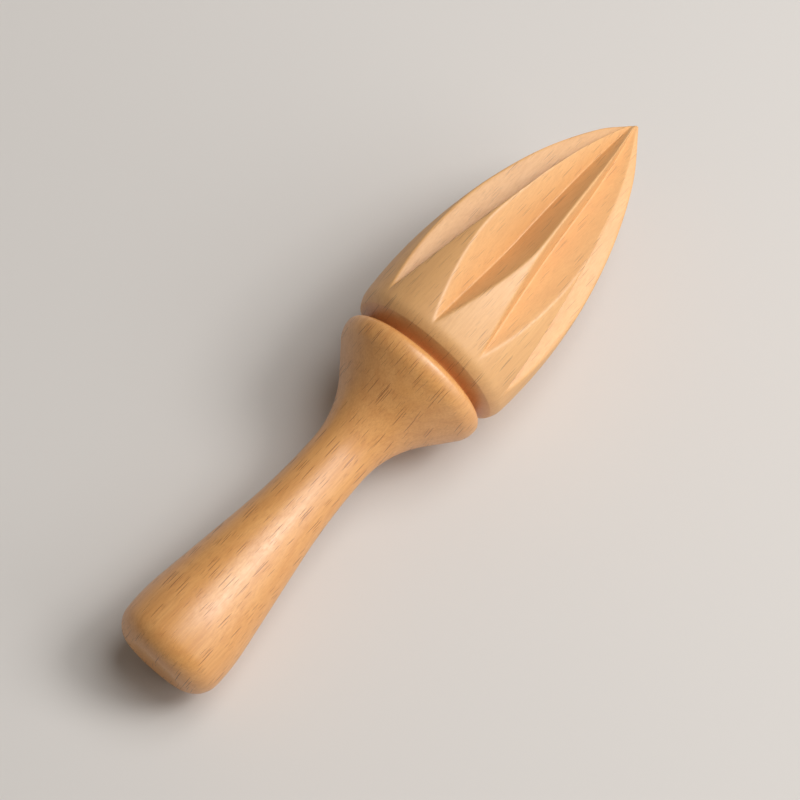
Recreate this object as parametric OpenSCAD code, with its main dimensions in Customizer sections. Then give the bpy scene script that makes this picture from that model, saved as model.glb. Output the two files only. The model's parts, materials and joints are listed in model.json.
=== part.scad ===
// Wooden citrus reamer, turned from one piece of beech and then fluted. Sizes are in millimetres.
// It is drawn upright, with the butt at height 0, the tip at the top and the top cut along +X.
// It is then laid down the way it rests on a table, on its butt and on the head, with the tip along +X.

/* [Overall] */
// Length from the butt to the tip
reamer_length = 165; // [160:0.5:170]

/* [Handle] */
// Radius of the swell at the butt end
swell_r = 12.8; // [11:0.1:15]
// Height of the swell's widest point
swell_at = 8; // [7:0.1:12]
// Radius of the lengthwise curve over the swell
swell_curve = 49.4; // [35:0.1:70]
// Radius of the rounding between the swell and the flat end
butt_round = 6; // [3:0.1:7]
// Slope of the straight taper behind the swell, in degrees
taper_angle = 8.5; // [6:0.1:12]
// Radius of the waist
waist_r = 7.2; // [6:0.1:9]
// Height of the waist
waist_at = 60.5; // [55:0.5:66]

/* [Collar] */
// Slope of the flare up to the collar, in degrees
flare_angle = 37.9; // [30:0.1:45]
// Radius of the rounding from the flare on to the collar's crest
bead_back = 5.8; // [3:0.1:8]
// Radius of the collar at its crest
collar_r = 18.6; // [16:0.1:20]
// Height of the collar's crest
collar_at = 85.7; // [83:0.1:88]
// Radius of the rounding from the crest to the rim
bead_front = 1.9; // [1:0.05:3]

/* [Ring groove] */
// Height of the rim where the groove starts
rim_at = 87.5; // [86:0.1:89]
// Radius of the groove's floor
groove_r = 15; // [13:0.1:17]
// Width of the groove's flat floor
groove_floor = 0.5; // [0.2:0.1:1.5]
// Slope of the head's wall away from square, in degrees
groove_slope = 33; // [20:1:50]

/* [Head] */
// Largest radius of the head
head_r = 20.45; // [18:0.05:24]
// Height of the largest radius
head_at = 104; // [100:0.5:110]
// Radius of the lengthwise curve over the head, before it is fluted
ogive_curve = 112.5; // [80:0.5:130]
// Height where the shoulder's rounding starts
shoulder_at = 93.5; // [92:0.5:98]
// Radius of the shoulder's rounding
shoulder_round = 10; // [5:0.5:20]
// Radius of the small rounding at the shoulder's corner
corner_round = 0.9; // [0.4:0.1:2]
// Radius of the blunt end of the tip
tip_r = 1.3; // [0.8:0.1:3]
// Slope of the bevel behind the blunt end, in degrees
tip_slope = 60; // [45:1:75]

/* [Flutes] */
// Half of the angle between the two sides of a V cut, in degrees
flute_half_angle = 44.2; // [40:0.1:52]
// Radius of the arc that the bottom of each V cut follows to the tip
sweep_curve = 126; // [115:0.5:150]
// Height of that arc's crest
sweep_at = 113; // [108:0.5:116]
// Distance of the crest from the centre line
sweep_r = 11.7; // [10.8:0.05:13]
// How much deeper the arc of the cut beside the top one lies
second_extra = 0.85; // [0:0.05:1.5]
// Radius at which the height of each cut's start is measured
start_r = 20; // [19:0.1:21]
// Height where the ordinary cuts start
start_at = 93.5; // [92:0.5:98]
// Slope at which the ordinary cuts go in, in degrees
start_slope = 15.2; // [12:0.1:20]
// Height where the cut on top starts
top_start_at = 92.3; // [91:0.1:96]
// Slope at which the cut on top goes in, in degrees
top_start_slope = 18.7; // [12:0.1:20]

/* [Lying] */
// Direction that faces up, measured round the handle from the top cut, in degrees
turn_up = 4.2; // [-20:0.1:20]

/* [Hidden] */
$fn = 144;

// Directions of the V cuts round the head, in degrees. The first five are seen in the photograph.
flute_turns = [0, 38, 78.5, -41.4, -75.2, -116.5, -157.7, -199, -240.2];
// How far each V cut swings to the side between the tip and its start, in degrees
flute_leans = [0, 1.2, 0, 1.3, 0, 0, 0, 0, 0];
// Depth of the cutter's V, which reaches out of the wood all along the head
cutter_depth = 15;
// How far the cutter's path runs on past the cut at each end
cutter_lead = 14;

// Neighbouring turned lengths lap over each other and differ by this hair, so that they cross cleanly.
hair = 0.004;
function lap(radius) = 2 * sqrt(2 * hair * radius);

// Swell, taper and waist
swell_centre = swell_r - swell_curve;
butt_centre = swell_centre + sqrt(pow(swell_curve - butt_round, 2) - pow(swell_at - butt_round, 2));
butt_end = swell_at - (swell_at - butt_round) * swell_curve / (swell_curve - butt_round);
taper_start = swell_at + swell_curve * sin(taper_angle);
taper_start_r = swell_centre + swell_curve * cos(taper_angle);
hollow_corner = taper_start + (taper_start_r - waist_r) / tan(taper_angle);
hollow_length = waist_at - hollow_corner;
hollow_curve = hollow_length / tan(taper_angle / 2);
taper_end = hollow_corner - hollow_length * cos(taper_angle);

// Flare and collar
flare_end = collar_at - bead_back * sin(flare_angle);
flare_end_r = collar_r - bead_back * (1 - cos(flare_angle));
flare_corner = flare_end - (flare_end_r - waist_r) / tan(flare_angle);
flare_length = flare_corner - waist_at;
flare_curve = flare_length / tan(flare_angle / 2);
flare_start = flare_corner + flare_length * cos(flare_angle);

// Head: centres are given as [radius, height]
ogive_centre = [head_r - ogive_curve, head_at];
shoulder_tilt = asin((head_at - shoulder_at) / ogive_curve);
shoulder_reach = ogive_curve - shoulder_round;
shoulder_centre = ogive_centre + shoulder_reach * [cos(shoulder_tilt), -sin(shoulder_tilt)];

// Corner between the shoulder and the groove's sloping wall
wall_foot = [groove_r, rim_at + groove_floor];
wall_way = [cos(groove_slope), sin(groove_slope)];
wall_in = [-sin(groove_slope), cos(groove_slope)];
corner_base = wall_foot + corner_round * wall_in - shoulder_centre;
corner_along = corner_base * wall_way;
corner_reach = shoulder_round - corner_round;
wall_length = sqrt(pow(corner_along, 2) - corner_base * corner_base + pow(corner_reach, 2)) - corner_along;
wall_top = wall_foot + wall_length * wall_way;
corner_centre = wall_top + corner_round * wall_in;
corner_top = shoulder_centre + (corner_centre - shoulder_centre) * shoulder_round / corner_reach;

// Ends of the cutter's arc, as angles from its crest. They lie below the head and past the tip.
arc_low = asin((sweep_at - rim_at) / sweep_curve) + 2;
arc_high = asin((reamer_length - sweep_at) / sweep_curve) + 5;

// Lying pose: the line that touches the butt's rounding and the head from below is level.
// The head touches on its long curve, or on the shoulder's rounding when the tilt is steeper.
butt_point = [butt_centre, butt_round];
function level_tilt(gap, reach) = atan2(gap[0], gap[1]) + asin(reach / norm(gap));
head_tilt = level_tilt(ogive_centre - butt_point, ogive_curve - butt_round);
edge_tilt = level_tilt(shoulder_centre - butt_point, shoulder_round - butt_round);
rest_tilt = head_tilt <= shoulder_tilt ? head_tilt : edge_tilt;
rest_drop = butt_round + butt_centre * cos(rest_tilt) - butt_round * sin(rest_tilt);
back_end = butt_round * cos(rest_tilt) - butt_centre * sin(rest_tilt) - butt_round;
front_end = reamer_length * cos(rest_tilt) + tip_r * sin(rest_tilt);

// Turned length between two heights, under an arc that bulges outwards
module bulge(low, high, centre, radius, hairs = 0) {
    middle = [centre[0] - hairs * hair, centre[1]];
    rotate_extrude()
        difference() {
            translate([0, low]) square([50, high - low]);
            difference() {
                translate([max(middle[0], 0), low]) square([60, high - low]);
                translate(middle) circle(r = radius, $fn = 720);
            }
        }
}

// Turned length between two heights, under a hollow arc
module hollow(low, high, centre, radius, hairs = 0) {
    middle = [centre[0] - hairs * hair, centre[1]];
    rotate_extrude()
        difference() {
            translate([0, low]) square([middle[0], high - low]);
            translate(middle) circle(r = radius, $fn = 720);
        }
}

// Turned length between two heights, with a straight side through a point at a slope from the centre line
module straight(low, high, point, slope, hairs = 0) {
    foot_r = point[0] - hairs * hair - (point[1] - low) * tan(slope);
    translate([0, 0, low])
        cylinder(r1 = foot_r, r2 = foot_r + (high - low) * tan(slope), h = high - low);
}

module handle() {
    bulge(0, butt_end + lap(butt_round), butt_point, butt_round);
    bulge(butt_end, taper_start + lap(swell_curve), [swell_centre, swell_at], swell_curve, 1);
    straight(taper_start, taper_end + lap(hollow_curve), [taper_start_r, taper_start], -taper_angle, 2);
    hollow(taper_end, waist_at + lap(flare_curve), [waist_r + hollow_curve, waist_at], hollow_curve, 3);
    hollow(waist_at, flare_start, [waist_r + flare_curve, waist_at], flare_curve, 4);
}

module collar() {
    straight(flare_start - lap(flare_curve), flare_end, [flare_end_r, flare_end], flare_angle, 3);
    bulge(flare_end - lap(bead_back), collar_at, [collar_r - bead_back, collar_at], bead_back, 2);
    bulge(collar_at - lap(bead_front), rim_at, [collar_r - bead_front, collar_at], bead_front, 1);
}

module head() {
    translate([0, 0, rim_at - 1]) cylinder(r = groove_r, h = groove_floor + 2);
    straight(wall_foot[1], wall_top[1], wall_top, 90 - groove_slope, 1);
    bulge(wall_top[1] - corner_round / 9, corner_top[1] + lap(corner_round), corner_centre, corner_round);
    bulge(corner_top[1], shoulder_at + lap(shoulder_round), shoulder_centre, shoulder_round, 1);
    intersection() {
        bulge(shoulder_at, reamer_length, ogive_centre, ogive_curve, 2);
        straight(head_at - 15, reamer_length, [tip_r, reamer_length], -tip_slope);
    }
}

// One V cut along the head. It goes in at a straight slope and then follows an arc to the tip.
// Its plane passes through the tip and may lean a little to one side there.
module flute(turn, lean = 0, low = start_at, slope = start_slope, extra = 0) {
    side = cutter_depth * tan(flute_half_angle);
    run = (reamer_length - low) / cos(slope) + 2 * cutter_lead;
    rotate([0, 0, -turn])
        translate([0, 0, reamer_length])
            rotate([-lean, 0, 0])
                translate([0, 0, -reamer_length])
                    intersection() {
                        translate([start_r, 0, low])
                            rotate([0, -slope, 0])
                                translate([0, 0, -cutter_lead])
                                    linear_extrude(height = run)
                                        polygon([[0, 0], [cutter_depth, -side], [cutter_depth, side]]);
                        translate([sweep_r - extra - sweep_curve, 0, sweep_at])
                            rotate([90, 0, 0])
                                rotate([0, 0, -arc_low])
                                    rotate_extrude(angle = arc_low + arc_high, $fn = 720)
                                        polygon([
                                            [sweep_curve, 0],
                                            [sweep_curve + cutter_depth, -side],
                                            [sweep_curve + cutter_depth, side]
                                        ]);
                    }
}

module reamer() {
    color([0.80, 0.60, 0.42])
        translate([-(back_end + front_end) / 2, 0, rest_drop])
            rotate([0, 90 - rest_tilt, 0])
                rotate([0, 0, 180 + turn_up])
                    difference() {
                        union() {
                            handle();
                            collar();
                            head();
                        }
                        flute(flute_turns[0], flute_leans[0], top_start_at, top_start_slope);
                        flute(flute_turns[1], flute_leans[1], extra = second_extra);
                        for (i = [2:len(flute_turns) - 1])
                            flute(flute_turns[i], flute_leans[i]);
                    }
}

reamer();
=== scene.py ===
"""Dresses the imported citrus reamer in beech, and sets the camera, lamps and floor to match the photograph.

The reamer is rebuilt as one mesh in its lathe frame: s runs along the turning axis from the butt, and
angles turn round it from straight up towards +Y. Lengths are in millimetres until the mesh is placed.
"""

import json
import math

import bpy
import numpy as np
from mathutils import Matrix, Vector


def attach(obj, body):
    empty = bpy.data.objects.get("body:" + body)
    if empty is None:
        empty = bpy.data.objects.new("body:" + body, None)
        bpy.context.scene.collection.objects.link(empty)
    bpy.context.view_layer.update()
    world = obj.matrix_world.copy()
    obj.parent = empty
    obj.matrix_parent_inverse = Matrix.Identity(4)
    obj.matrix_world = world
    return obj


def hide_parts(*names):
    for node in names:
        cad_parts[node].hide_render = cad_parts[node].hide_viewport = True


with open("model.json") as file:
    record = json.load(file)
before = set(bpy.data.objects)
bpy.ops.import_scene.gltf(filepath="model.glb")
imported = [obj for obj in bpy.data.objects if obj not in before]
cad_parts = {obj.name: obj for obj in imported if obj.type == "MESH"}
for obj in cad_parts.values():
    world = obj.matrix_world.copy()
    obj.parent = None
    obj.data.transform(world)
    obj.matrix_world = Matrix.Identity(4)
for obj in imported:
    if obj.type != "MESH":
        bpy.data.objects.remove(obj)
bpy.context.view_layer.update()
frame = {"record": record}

MM = 0.001

# Camera. The photograph is an 800 px frame taken with a long lens.
CAMERA_AT = (-212.324, -178.89, 621.328)
CAMERA_AIM = (-2.29, -1.594, 18.327)
LENS = 135

# The flat end's mount gives the butt's centre and the turning axis.
butt_face = frame["record"]["mounts"][0]
BUTT = np.array(butt_face["pos_m"])
AXIS = -np.array(butt_face["axis"])
RISE = np.array((-AXIS[2], 0.0, AXIS[0]))
TILT = math.atan2(AXIS[2], AXIS[0])

# Turned profile
LENGTH = 165.0
SWELL_R, SWELL_AT, SWELL_CURVE = 12.8, 8.0, 49.4
BUTT_ROUND = 6.0
TAPER = math.radians(8.5)
WAIST_R, WAIST_AT = 7.2, 60.5
FLARE = math.radians(37.9)
COLLAR_R, COLLAR_AT = 18.6, 85.7
BEAD_BACK, BEAD_FRONT = 5.8, 1.9
RIM_AT = 87.5
GROOVE_R, GROOVE_FLOOR = 15.0, 0.5
GROOVE_SLOPE = math.radians(33)
SHOULDER_AT, SHOULDER_ROUND = 93.5, 6.0
CORNER_ROUND = 0.9
HEAD_R, HEAD_AT, OGIVE_CURVE = 20.42, 104.0, 112.0

# V cuts: direction in degrees, sideways lean per millimetre and how much deeper the arc lies
CUTS = [
    (-4.1, 0.0, 0.0),
    (32.4, 0.027, 0.86),
    (72.8, 0.0, 0.0),
    (-44.8, 0.018, 0.0),
    (-79.0, 0.0, 0.0),
    (-120.3, 0.0, 0.0),
    (-161.6, 0.0, 0.0),
    (-202.9, 0.0, 0.0),
    (-245.0, 0.0, 0.0),
]
SIDE_SLOPE = 1 / math.tan(math.radians(42.2))
RUN_IN = (93.5, math.tan(math.radians(15.8)))
TOP_RUN_IN = (92.4, math.tan(math.radians(19.6)))
RUN_IN_R = 20.0
ARC_R, ARC_AT, ARC_CURVE = 10.25, 120.5, 100.4
PATH_BLEND = 1.8
RIDGE_SOFT = 0.13
VALLEY_SOFT = 0.12

# Blunt end, worn off on the side towards the picture's upper left. The rays' middle shifts away from it.
TIP_POINT = 164.15
TIP_SIDE = math.radians(73.9)
TIP_LEAN = math.radians(48.5)
TIP_SHIFT = 0.9
TIP_SHIFT_FROM = 155.0

# Mesh of the handle and, twice as fine, of the head
HANDLE_COLUMNS = 240
HEAD_COLUMNS = 2 * HANDLE_COLUMNS
HEAD_ROWS_FROM = 92.0
HEAD_ROW_STEP = 0.56
LAST_ROW_FROM_TIP = 0.15
RAY_LENGTH = 1.3 * HEAD_R
HALVINGS = 24
INNER_RING_R = 0.4
LEAST_STEP = 0.001
SHARP_ANGLE = math.radians(65)

# Features of the beech as (along the grain, across it, deep in the tree)
WANDER_CELL, WANDER = (45, 9, 9), 0.9
FIBRE_CELL = (9, 0.36, 0.36)
STREAK_CELL = (38, 2.6, 2.6)
PATCH_CELL = (30, 14, 14)
PORE_CELL = (1.5, 0.11, 0.11)
RING_WIDTH, RING_WAVE = 2.9, 1.1
LONG_DASH, LONG_DASH_SHARE = (5.2, 0.15, 7.0), 0.24
SHORT_DASH, SHORT_DASH_SHARE = (2.6, 0.12, 4.0), 0.26
DASH_PITCH = 1.45
DASH_LEAST_REACH, DASH_REACH_RANGE = 0.16, 0.22

# How the tree lies in the blank: turned about the blank's X, Y and Z
TREE_TURN = (math.radians(-14), math.radians(0.8), math.radians(1.2))

# Lamps: name, place in metres, diameter and watts. Each points at the origin.
LAMPS = [
    ("window", (0.573, -0.662, 0.961), 0.5, 6.0),
    ("overhead", (0.385, -0.235, 1.005), 0.8, 6.4),
    ("side", (0.42, -1.08, 0.56), 1.05, 5.4),
]
FLOOR_HALF = 3.0


def srgb(red, green, blue):
    """Scene-linear colour of an 8-bit display colour"""
    def linear(value):
        value /= 255
        return value / 12.92 if value <= 0.04045 else ((value + 0.055) / 1.055) ** 2.4
    return (linear(red), linear(green), linear(blue), 1)


def arc(centre_s, centre_r, radius, start, end, count):
    """Points on an arc. Angles are measured from square to the axis towards the tip."""
    for i in range(count + 1):
        a = start + (end - start) * i / count
        yield (centre_s + radius * math.sin(a), centre_r + radius * math.cos(a))


def line(start, end, count):
    """Points on a straight line, both ends included"""
    for i in range(count + 1):
        t = i / count
        yield (start[0] + (end[0] - start[0]) * t, start[1] + (end[1] - start[1]) * t)


def handle_profile():
    """Outline of butt, handle, collar and rim as (s, radius), from the butt's centre to the groove's floor"""
    centre_r = SWELL_R - SWELL_CURVE
    butt_r = centre_r + math.sqrt((SWELL_CURVE - BUTT_ROUND) ** 2 - (SWELL_AT - BUTT_ROUND) ** 2)
    meet = math.asin((BUTT_ROUND - SWELL_AT) / (SWELL_CURVE - BUTT_ROUND))
    taper_s = SWELL_AT + SWELL_CURVE * math.sin(TAPER)
    taper_r = centre_r + SWELL_CURVE * math.cos(TAPER)
    hollow_corner = taper_s + (taper_r - WAIST_R) / math.tan(TAPER)
    hollow_length = WAIST_AT - hollow_corner
    hollow_curve = hollow_length / math.tan(TAPER / 2)
    flare_s = COLLAR_AT - BEAD_BACK * math.sin(FLARE)
    flare_r = COLLAR_R - BEAD_BACK * (1 - math.cos(FLARE))
    flare_corner = flare_s - (flare_r - WAIST_R) / math.tan(FLARE)
    flare_length = flare_corner - WAIST_AT
    flare_curve = flare_length / math.tan(FLARE / 2)
    hollow_end = (hollow_corner - hollow_length * math.cos(TAPER), WAIST_R + hollow_length * math.sin(TAPER))
    flare_start = (flare_corner + flare_length * math.cos(FLARE), WAIST_R + flare_length * math.sin(FLARE))
    rim_turn = math.asin((RIM_AT - COLLAR_AT) / BEAD_FRONT)
    rim_r = COLLAR_R - BEAD_FRONT * (1 - math.cos(rim_turn))
    points = []
    points += line((0, INNER_RING_R), (0, butt_r), 7)
    points += arc(BUTT_ROUND, butt_r, BUTT_ROUND, -math.pi / 2, meet, 12)
    points += arc(SWELL_AT, centre_r, SWELL_CURVE, meet, TAPER, 9)
    points += line((taper_s, taper_r), hollow_end, 18)
    points += arc(WAIST_AT, WAIST_R + hollow_curve, -hollow_curve, TAPER, 0, 16)
    points += arc(WAIST_AT, WAIST_R + flare_curve, -flare_curve, 0, -FLARE, 16)
    points += line(flare_start, (flare_s, flare_r), 6)
    points += arc(COLLAR_AT, COLLAR_R - BEAD_BACK, BEAD_BACK, -FLARE, 0, 9)
    points += arc(COLLAR_AT, COLLAR_R - BEAD_FRONT, BEAD_FRONT, 0, rim_turn, 8)
    points += line((RIM_AT, rim_r), (RIM_AT, GROOVE_R), 5)
    points += line((RIM_AT, GROOVE_R), (RIM_AT + GROOVE_FLOOR / 2, GROOVE_R), 1)
    return without_repeats(points)


def shoulder_parts():
    """Centres of the long curve, the shoulder's rounding and the corner's rounding, as (radius, s)"""
    ogive = np.array((HEAD_R - OGIVE_CURVE, HEAD_AT))
    tilt = math.asin((HEAD_AT - SHOULDER_AT) / OGIVE_CURVE)
    shoulder = ogive + (OGIVE_CURVE - SHOULDER_ROUND) * np.array((math.cos(tilt), -math.sin(tilt)))
    foot = np.array((GROOVE_R, RIM_AT + GROOVE_FLOOR))
    way = np.array((math.cos(GROOVE_SLOPE), math.sin(GROOVE_SLOPE)))
    inward = np.array((-math.sin(GROOVE_SLOPE), math.cos(GROOVE_SLOPE)))
    base = foot + CORNER_ROUND * inward - shoulder
    along = base @ way
    reach = SHOULDER_ROUND - CORNER_ROUND
    top = foot + (math.sqrt(along ** 2 - base @ base + reach ** 2) - along) * way
    return ogive, shoulder, top, top + CORNER_ROUND * inward


OGIVE, SHOULDER, WALL_TOP, CORNER = shoulder_parts()


def blank_radius(s):
    """Radius of the turned head before the cuts, from the corner on"""
    long_curve = OGIVE[0] + np.sqrt(np.maximum(OGIVE_CURVE ** 2 - (s - OGIVE[1]) ** 2, 0))
    rounding = SHOULDER[0] + np.sqrt(np.maximum(SHOULDER_ROUND ** 2 - (s - SHOULDER[1]) ** 2, 0))
    return np.where(s < SHOULDER_AT, rounding, long_curve)


def shoulder_profile():
    """Outline from the groove's floor to the first row of the fluted head"""
    corner_end = CORNER - SHOULDER
    last = math.atan2(corner_end[1], corner_end[0])
    points = []
    points += line((RIM_AT + GROOVE_FLOOR / 2, GROOVE_R), (RIM_AT + GROOVE_FLOOR, GROOVE_R), 1)
    points += line((RIM_AT + GROOVE_FLOOR, GROOVE_R), (WALL_TOP[1], WALL_TOP[0]), 5)
    points += arc(CORNER[1], CORNER[0], CORNER_ROUND, GROOVE_SLOPE - math.pi / 2, last, 6)
    first_row = math.asin((HEAD_ROWS_FROM - SHOULDER[1]) / SHOULDER_ROUND)
    points += arc(SHOULDER[1], SHOULDER[0], SHOULDER_ROUND, last, first_row, 2)
    return without_repeats(points)


def without_repeats(points):
    """The points without those that fall on the one before"""
    kept = [points[0]]
    for point in points[1:]:
        if math.dist(point, kept[-1]) > LEAST_STEP:
            kept.append(point)
    return kept


def path_radius(s, run_in, extra):
    """Distance of a cut's bottom from the axis: a straight run-in that bends into a long arc"""
    straight = RUN_IN_R - run_in[1] * (s - run_in[0])
    curved = ARC_R - extra - ARC_CURVE + np.sqrt(ARC_CURVE ** 2 - (s - ARC_AT) ** 2)
    return (straight + curved + np.sqrt((straight - curved) ** 2 + PATH_BLEND ** 2)) / 2


def outside(s, side, up):
    """Positive outside the head's wood and negative inside. Ridges are softened, as sanding leaves them."""
    faces = [np.hypot(side, up) - blank_radius(s)]
    for i, (turn, lean, extra) in enumerate(CUTS):
        turn = math.radians(turn)
        out = side * math.sin(turn) + up * math.cos(turn)
        across = side * math.cos(turn) - up * math.sin(turn) - lean * (LENGTH - s)
        across = np.sqrt(across ** 2 + VALLEY_SOFT ** 2)
        bottom = path_radius(s, TOP_RUN_IN if i == 0 else RUN_IN, extra)
        faces.append((out - bottom - SIDE_SLOPE * across) / math.hypot(1, SIDE_SLOPE))
    toward = side * math.sin(TIP_SIDE) + up * math.cos(TIP_SIDE)
    faces.append((s - TIP_POINT) * math.cos(TIP_LEAN) + toward * math.sin(TIP_LEAN))
    faces = np.stack(faces)
    highest = faces.max(axis=0)
    return highest + RIDGE_SOFT * np.log(np.exp((faces - highest) / RIDGE_SOFT).sum(axis=0))


def head_rings():
    """Rings of (s, side, up) over the fluted head, found by halving along rays from the middle"""
    rows = int(round((LENGTH - HEAD_ROWS_FROM) / HEAD_ROW_STEP))
    s = np.linspace(HEAD_ROWS_FROM, LENGTH, rows + 1)[1:-1]
    s = np.append(s, LENGTH - LAST_ROW_FROM_TIP)[:, None]
    angle = (np.arange(HEAD_COLUMNS) * 2 * math.pi / HEAD_COLUMNS)[None]
    drift = -TIP_SHIFT * np.clip((s - TIP_SHIFT_FROM) / (LENGTH - TIP_SHIFT_FROM), 0, 1) ** 2
    middle_side = drift * math.sin(TIP_SIDE)
    middle_up = drift * math.cos(TIP_SIDE)
    near = np.zeros(np.broadcast(s, angle).shape)
    far = near + RAY_LENGTH
    for _ in range(HALVINGS):
        half = (near + far) / 2
        out = outside(s, middle_side + half * np.sin(angle), middle_up + half * np.cos(angle)) > 0
        far = np.where(out, half, far)
        near = np.where(out, near, half)
    side = middle_side + near * np.sin(angle)
    up = middle_up + near * np.cos(angle)
    return [np.stack((np.full(HEAD_COLUMNS, s[i, 0]), side[i], up[i]), axis=1) for i in range(len(s))]


def round_ring(s, radius, columns):
    """Ring of the turned profile as (s, side, up)"""
    angle = np.arange(columns) * 2 * math.pi / columns
    return np.stack((np.full(columns, s), radius * np.sin(angle), radius * np.cos(angle)), axis=1)


def join(rings):
    """Faces of a closed skin over the rings, with a vertex before the first ring and one after the last"""
    columns = len(rings[0])
    faces = [(0, 1 + (j + 1) % columns, 1 + j) for j in range(columns)]
    start = 1
    for low, high in zip(rings, rings[1:]):
        a, b = len(low), len(high)
        top = start + a
        for j in range(a):
            k = (j + 1) % a
            if a == b:
                faces.append((start + j, start + k, top + k, top + j))
            else:
                middle = top + 2 * j + 1
                faces.append((start + j, middle, top + 2 * j))
                faces.append((start + j, start + k, middle))
                faces.append((start + k, top + (2 * j + 2) % b, middle))
        start = top
    columns = len(rings[-1])
    last = start + columns
    faces += [(start + j, start + (j + 1) % columns, last) for j in range(columns)]
    return faces


def build_reamer():
    rings = [round_ring(s, r, HANDLE_COLUMNS) for s, r in handle_profile()]
    rings += [round_ring(s, r, HEAD_COLUMNS) for s, r in shoulder_profile()[1:]]
    rings += head_rings()
    butt = np.array([[0.0, 0.0, 0.0]])
    tip = rings[-1].mean(axis=0, keepdims=True)
    lathe = np.concatenate([butt] + rings + [tip])
    places = BUTT + MM * (lathe[:, :1] * AXIS + lathe[:, 1:2] * np.array((0, 1, 0)) + lathe[:, 2:] * RISE)
    mesh = bpy.data.meshes.new("turned_reamer")
    mesh.from_pydata(places.tolist(), [], join(rings))
    mesh.validate()
    mesh.shade_smooth()
    mesh.set_sharp_from_angle(angle=SHARP_ANGLE)
    reamer = bpy.data.objects.new("turned_reamer", mesh)
    bpy.context.collection.objects.link(reamer)
    return reamer


class Wood:
    """Small helpers for building the beech material's nodes"""

    def __init__(self, name):
        self.material = bpy.data.materials.new(name)
        self.material.use_nodes = True
        self.tree = self.material.node_tree
        self.shader = self.tree.nodes["Principled BSDF"]

    def add(self, kind, **settings):
        """New node with these settings"""
        node = self.tree.nodes.new(kind)
        for key, value in settings.items():
            setattr(node, key, value)
        return node

    def link(self, source, target):
        self.tree.links.new(source, target)

    def math(self, operation, a, b=None, c=None):
        """Result of a sum on numbers or sockets"""
        node = self.add("ShaderNodeMath", operation=operation)
        for socket, value in zip(node.inputs, (a, b, c)):
            if value is None:
                continue
            if isinstance(value, (int, float)):
                socket.default_value = value
            else:
                self.link(value, socket)
        return node.outputs[0]

    def stretch(self, place, cell):
        """Coordinates scaled to cells of this size in millimetres"""
        node = self.add("ShaderNodeMapping")
        node.inputs["Scale"].default_value = tuple(1 / (MM * size) for size in cell)
        self.link(place, node.inputs["Vector"])
        return node.outputs[0]

    def noise(self, place, cell, detail=2, rough=0.5):
        """Noise whose lumps have this size in millimetres"""
        node = self.add("ShaderNodeTexNoise")
        node.inputs["Scale"].default_value = 1
        node.inputs["Detail"].default_value = detail
        node.inputs["Roughness"].default_value = rough
        self.link(self.stretch(place, cell), node.inputs["Vector"])
        return node.outputs[0]

    def ramp(self, value, low, high, start=0, end=1):
        """Smooth step from start to end while the value goes from low to high"""
        node = self.add("ShaderNodeMapRange", interpolation_type="SMOOTHSTEP")
        for name, number in (("From Min", low), ("From Max", high), ("To Min", start), ("To Max", end)):
            node.inputs[name].default_value = number
        self.link(value, node.inputs["Value"])
        return node.outputs[0]

    def tint(self, colour, mask, amount, over):
        """The colour with an amount of another one laid over it inside a mask"""
        return self.mix(self.math("MULTIPLY", mask, amount), colour, over)

    def mix(self, amount, under, over):
        """Mix of two colours, each a value or a socket"""
        node = self.add("ShaderNodeMix", data_type="RGBA")
        sockets = [socket for socket in node.inputs if socket.enabled]
        for socket, value in zip(sockets, (amount, under, over)):
            if isinstance(value, (int, float, tuple)):
                socket.default_value = value
            else:
                self.link(value, socket)
        return [socket for socket in node.outputs if socket.enabled][0]

    def dashes(self, place, size, share, seed):
        """Rays of the wood: thin plates along the grain, which a surface cuts into short dashes"""
        cells = self.stretch(place, [DASH_PITCH * side for side in size])
        shift = self.add("ShaderNodeVectorMath", operation="ADD")
        shift.inputs[1].default_value = (seed, seed * 1.7, seed * 2.3)
        self.link(cells, shift.inputs[0])
        node = self.add("ShaderNodeTexVoronoi")
        node.inputs["Scale"].default_value = 1
        self.link(shift.outputs[0], node.inputs["Vector"])
        split = self.add("ShaderNodeSeparateColor")
        self.link(node.outputs["Color"], split.inputs[0])
        reach = self.math("MULTIPLY_ADD", split.outputs[1], DASH_REACH_RANGE, DASH_LEAST_REACH)
        inside = self.math("DIVIDE", node.outputs["Distance"], reach)
        body = self.ramp(inside, 0.85, 1, 1, 0)
        chosen = self.math("LESS_THAN", split.outputs[0], share)
        return self.math("MULTIPLY", body, chosen)


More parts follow.
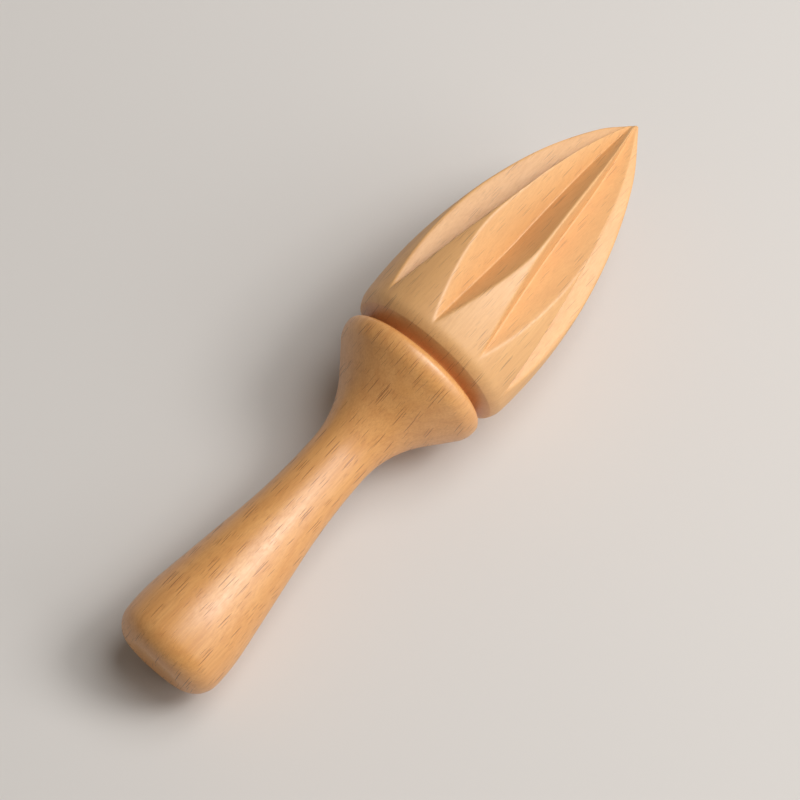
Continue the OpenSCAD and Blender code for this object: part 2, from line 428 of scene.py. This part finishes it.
def beech():
    """Oiled beech: golden, with brown ray dashes, fine pores, faint rings and a groove darkened partly by
    friction burn and partly by painted shade
    """
    wood = Wood("beech")
    shader = wood.shader
    coordinates = wood.add("ShaderNodeTexCoord").outputs["Object"]
    lathe = wood.add("ShaderNodeMapping", vector_type="TEXTURE")
    lathe.inputs["Location"].default_value = tuple(BUTT)
    lathe.inputs["Rotation"].default_value = (0, -TILT, 0)
    wood.link(coordinates, lathe.inputs["Vector"])
    tree_turn = wood.add("ShaderNodeMapping")
    tree_turn.inputs["Rotation"].default_value = TREE_TURN
    wood.link(lathe.outputs[0], tree_turn.inputs["Vector"])
    place = tree_turn.outputs[0]

    # The grain wanders a little along the piece.
    wander = wood.noise(place, WANDER_CELL, detail=1)
    bend = wood.add("ShaderNodeVectorMath", operation="MULTIPLY_ADD")
    bend.inputs[1].default_value = (0, WANDER * MM, WANDER * MM)
    wood.link(wander, bend.inputs[0])
    wood.link(place, bend.inputs[2])
    grain = bend.outputs[0]

    fibres = wood.noise(grain, FIBRE_CELL, detail=3, rough=0.7)
    streaks = wood.noise(grain, STREAK_CELL)
    patches = wood.noise(place, PATCH_CELL, detail=1)

    # Growth rings run across the depth of the tree.
    split = wood.add("ShaderNodeSeparateXYZ")
    wood.link(grain, split.inputs[0])
    depth = wood.math("MULTIPLY", split.outputs[2], 1 / (RING_WIDTH * MM))
    depth = wood.math("MULTIPLY_ADD", streaks, RING_WAVE, depth)
    late = wood.ramp(wood.math("FRACT", depth), 0.45, 1)

    long_dashes = wood.dashes(grain, LONG_DASH, LONG_DASH_SHARE, seed=3.1)
    short_dashes = wood.dashes(grain, SHORT_DASH, SHORT_DASH_SHARE, seed=17.7)
    pores = wood.ramp(wood.noise(grain, PORE_CELL, detail=1), 0.60, 0.72)

    colour = wood.mix(wood.ramp(streaks, 0.3, 0.7), srgb(230, 170, 102), srgb(224, 161, 92))
    colour = wood.tint(colour, wood.ramp(patches, 0.35, 0.7), 0.35, srgb(228, 166, 104))
    colour = wood.tint(colour, wood.ramp(fibres, 0.38, 0.66), 0.36, srgb(196, 126, 62))
    colour = wood.tint(colour, late, 0.16, srgb(192, 120, 64))
    colour = wood.tint(colour, pores, 0.22, srgb(168, 100, 50))
    colour = wood.tint(colour, short_dashes, 0.55, srgb(150, 86, 36))
    colour = wood.tint(colour, long_dashes, 0.85, srgb(132, 68, 26))

    # The groove is darker, between its walls and below the head's corner: partly friction burn from turning,
    # partly painted shade in the recess.
    parts = wood.add("ShaderNodeSeparateXYZ")
    wood.link(lathe.outputs[0], parts.inputs[0])
    along = wood.math("MULTIPLY", parts.outputs[0], 1 / MM)
    side_square = wood.math("POWER", parts.outputs[1], 2)
    square = wood.math("MULTIPLY_ADD", parts.outputs[2], parts.outputs[2], side_square)
    radius = wood.math("MULTIPLY", wood.math("SQRT", square), 1 / MM)
    past_rim = wood.ramp(along, RIM_AT - 0.6, RIM_AT - 0.1)
    before_head = wood.ramp(along, RIM_AT + 2.7, RIM_AT + 4.1, 1, 0)
    deep = wood.ramp(radius, GROOVE_R + 1.9, GROOVE_R + 3.9, 1, 0)
    groove_burn_and_shade = wood.math("MULTIPLY", wood.math("MULTIPLY", past_rim, before_head), deep)
    # Painted shade and burn: the groove's recess gets a darker reddish brown.
    colour = wood.tint(colour, groove_burn_and_shade, 0.4, srgb(176, 104, 60))

    # Hands and sanding leave the handle glossier than the freshly cut head.
    on_head = wood.ramp(along, RIM_AT + 0.5, RIM_AT + 5.5)
    # The head is also tinted paler: partly the fresh-cut wood's own tone, partly painted sheen standing in
    # for the pale haze on its lit faces.
    colour = wood.tint(colour, on_head, 0.4, srgb(232, 188, 132))
    rough = wood.ramp(fibres, 0.3, 0.7, 0.33, 0.42)
    rough = wood.math("MULTIPLY_ADD", on_head, 0.12, rough)
    shader.inputs["Specular IOR Level"].default_value = 0.9
    wood.link(rough, shader.inputs["Roughness"])
    wood.link(colour, shader.inputs["Base Color"])

    # Dashes and pores lie a little lower than the fibres.
    relief = wood.math("MULTIPLY", fibres, 0.5)
    relief = wood.math("SUBTRACT", relief, wood.math("MULTIPLY", long_dashes, 0.4))
    relief = wood.math("SUBTRACT", relief, wood.math("MULTIPLY", pores, 0.5))
    bump = wood.add("ShaderNodeBump")
    bump.inputs["Strength"].default_value = 0.35
    bump.inputs["Distance"].default_value = 0.05 * MM
    wood.link(relief, bump.inputs["Height"])
    wood.link(bump.outputs[0], shader.inputs["Normal"])
    return wood.material


def add_camera():
    data = bpy.data.cameras.new("photo_camera")
    data.sensor_width = 36
    data.lens = LENS
    data.clip_end = 20
    camera = bpy.data.objects.new("photo_camera", data)
    bpy.context.collection.objects.link(camera)
    place, aim = (Vector(p) * MM for p in (CAMERA_AT, CAMERA_AIM))
    camera.location = place
    camera.rotation_mode = "QUATERNION"
    camera.rotation_quaternion = (aim - place).to_track_quat("-Z", "Y")
    bpy.context.scene.camera = camera


def add_lamp(name, place, size, watts):
    data = bpy.data.lights.new(name, "AREA")
    data.shape = "DISK"
    data.size = size
    data.energy = watts
    lamp = bpy.data.objects.new(name, data)
    bpy.context.collection.objects.link(lamp)
    lamp.location = Vector(place)
    lamp.rotation_mode = "QUATERNION"
    lamp.rotation_quaternion = (-Vector(place)).to_track_quat("-Z", "Y")


def add_world(strength, colour):
    world = bpy.data.worlds.new("studio")
    world.use_nodes = True
    background = world.node_tree.nodes["Background"]
    background.inputs["Color"].default_value = colour
    background.inputs["Strength"].default_value = strength
    bpy.context.scene.world = world


def add_floor():
    mesh = bpy.data.meshes.new("floor")
    half = FLOOR_HALF
    corners = [(-half, -half, 0), (half, -half, 0), (half, half, 0), (-half, half, 0)]
    mesh.from_pydata(corners, [], [(0, 1, 2, 3)])
    floor = bpy.data.objects.new("floor", mesh)
    bpy.context.collection.objects.link(floor)
    material = bpy.data.materials.new("floor")
    material.use_nodes = True
    shader = material.node_tree.nodes["Principled BSDF"]
    shader.inputs["Base Color"].default_value = (0.68, 0.65, 0.62, 1)
    shader.inputs["Roughness"].default_value = 0.9
    mesh.materials.append(material)


add_camera()
add_floor()
add_world(0.16, (1, 0.92, 0.82, 1))
for lamp in LAMPS:
    add_lamp(*lamp)

reamer = build_reamer()
reamer.data.materials.append(beech())
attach(reamer, "root")
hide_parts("reamer")

bpy.context.scene.view_settings.view_transform = "Standard"
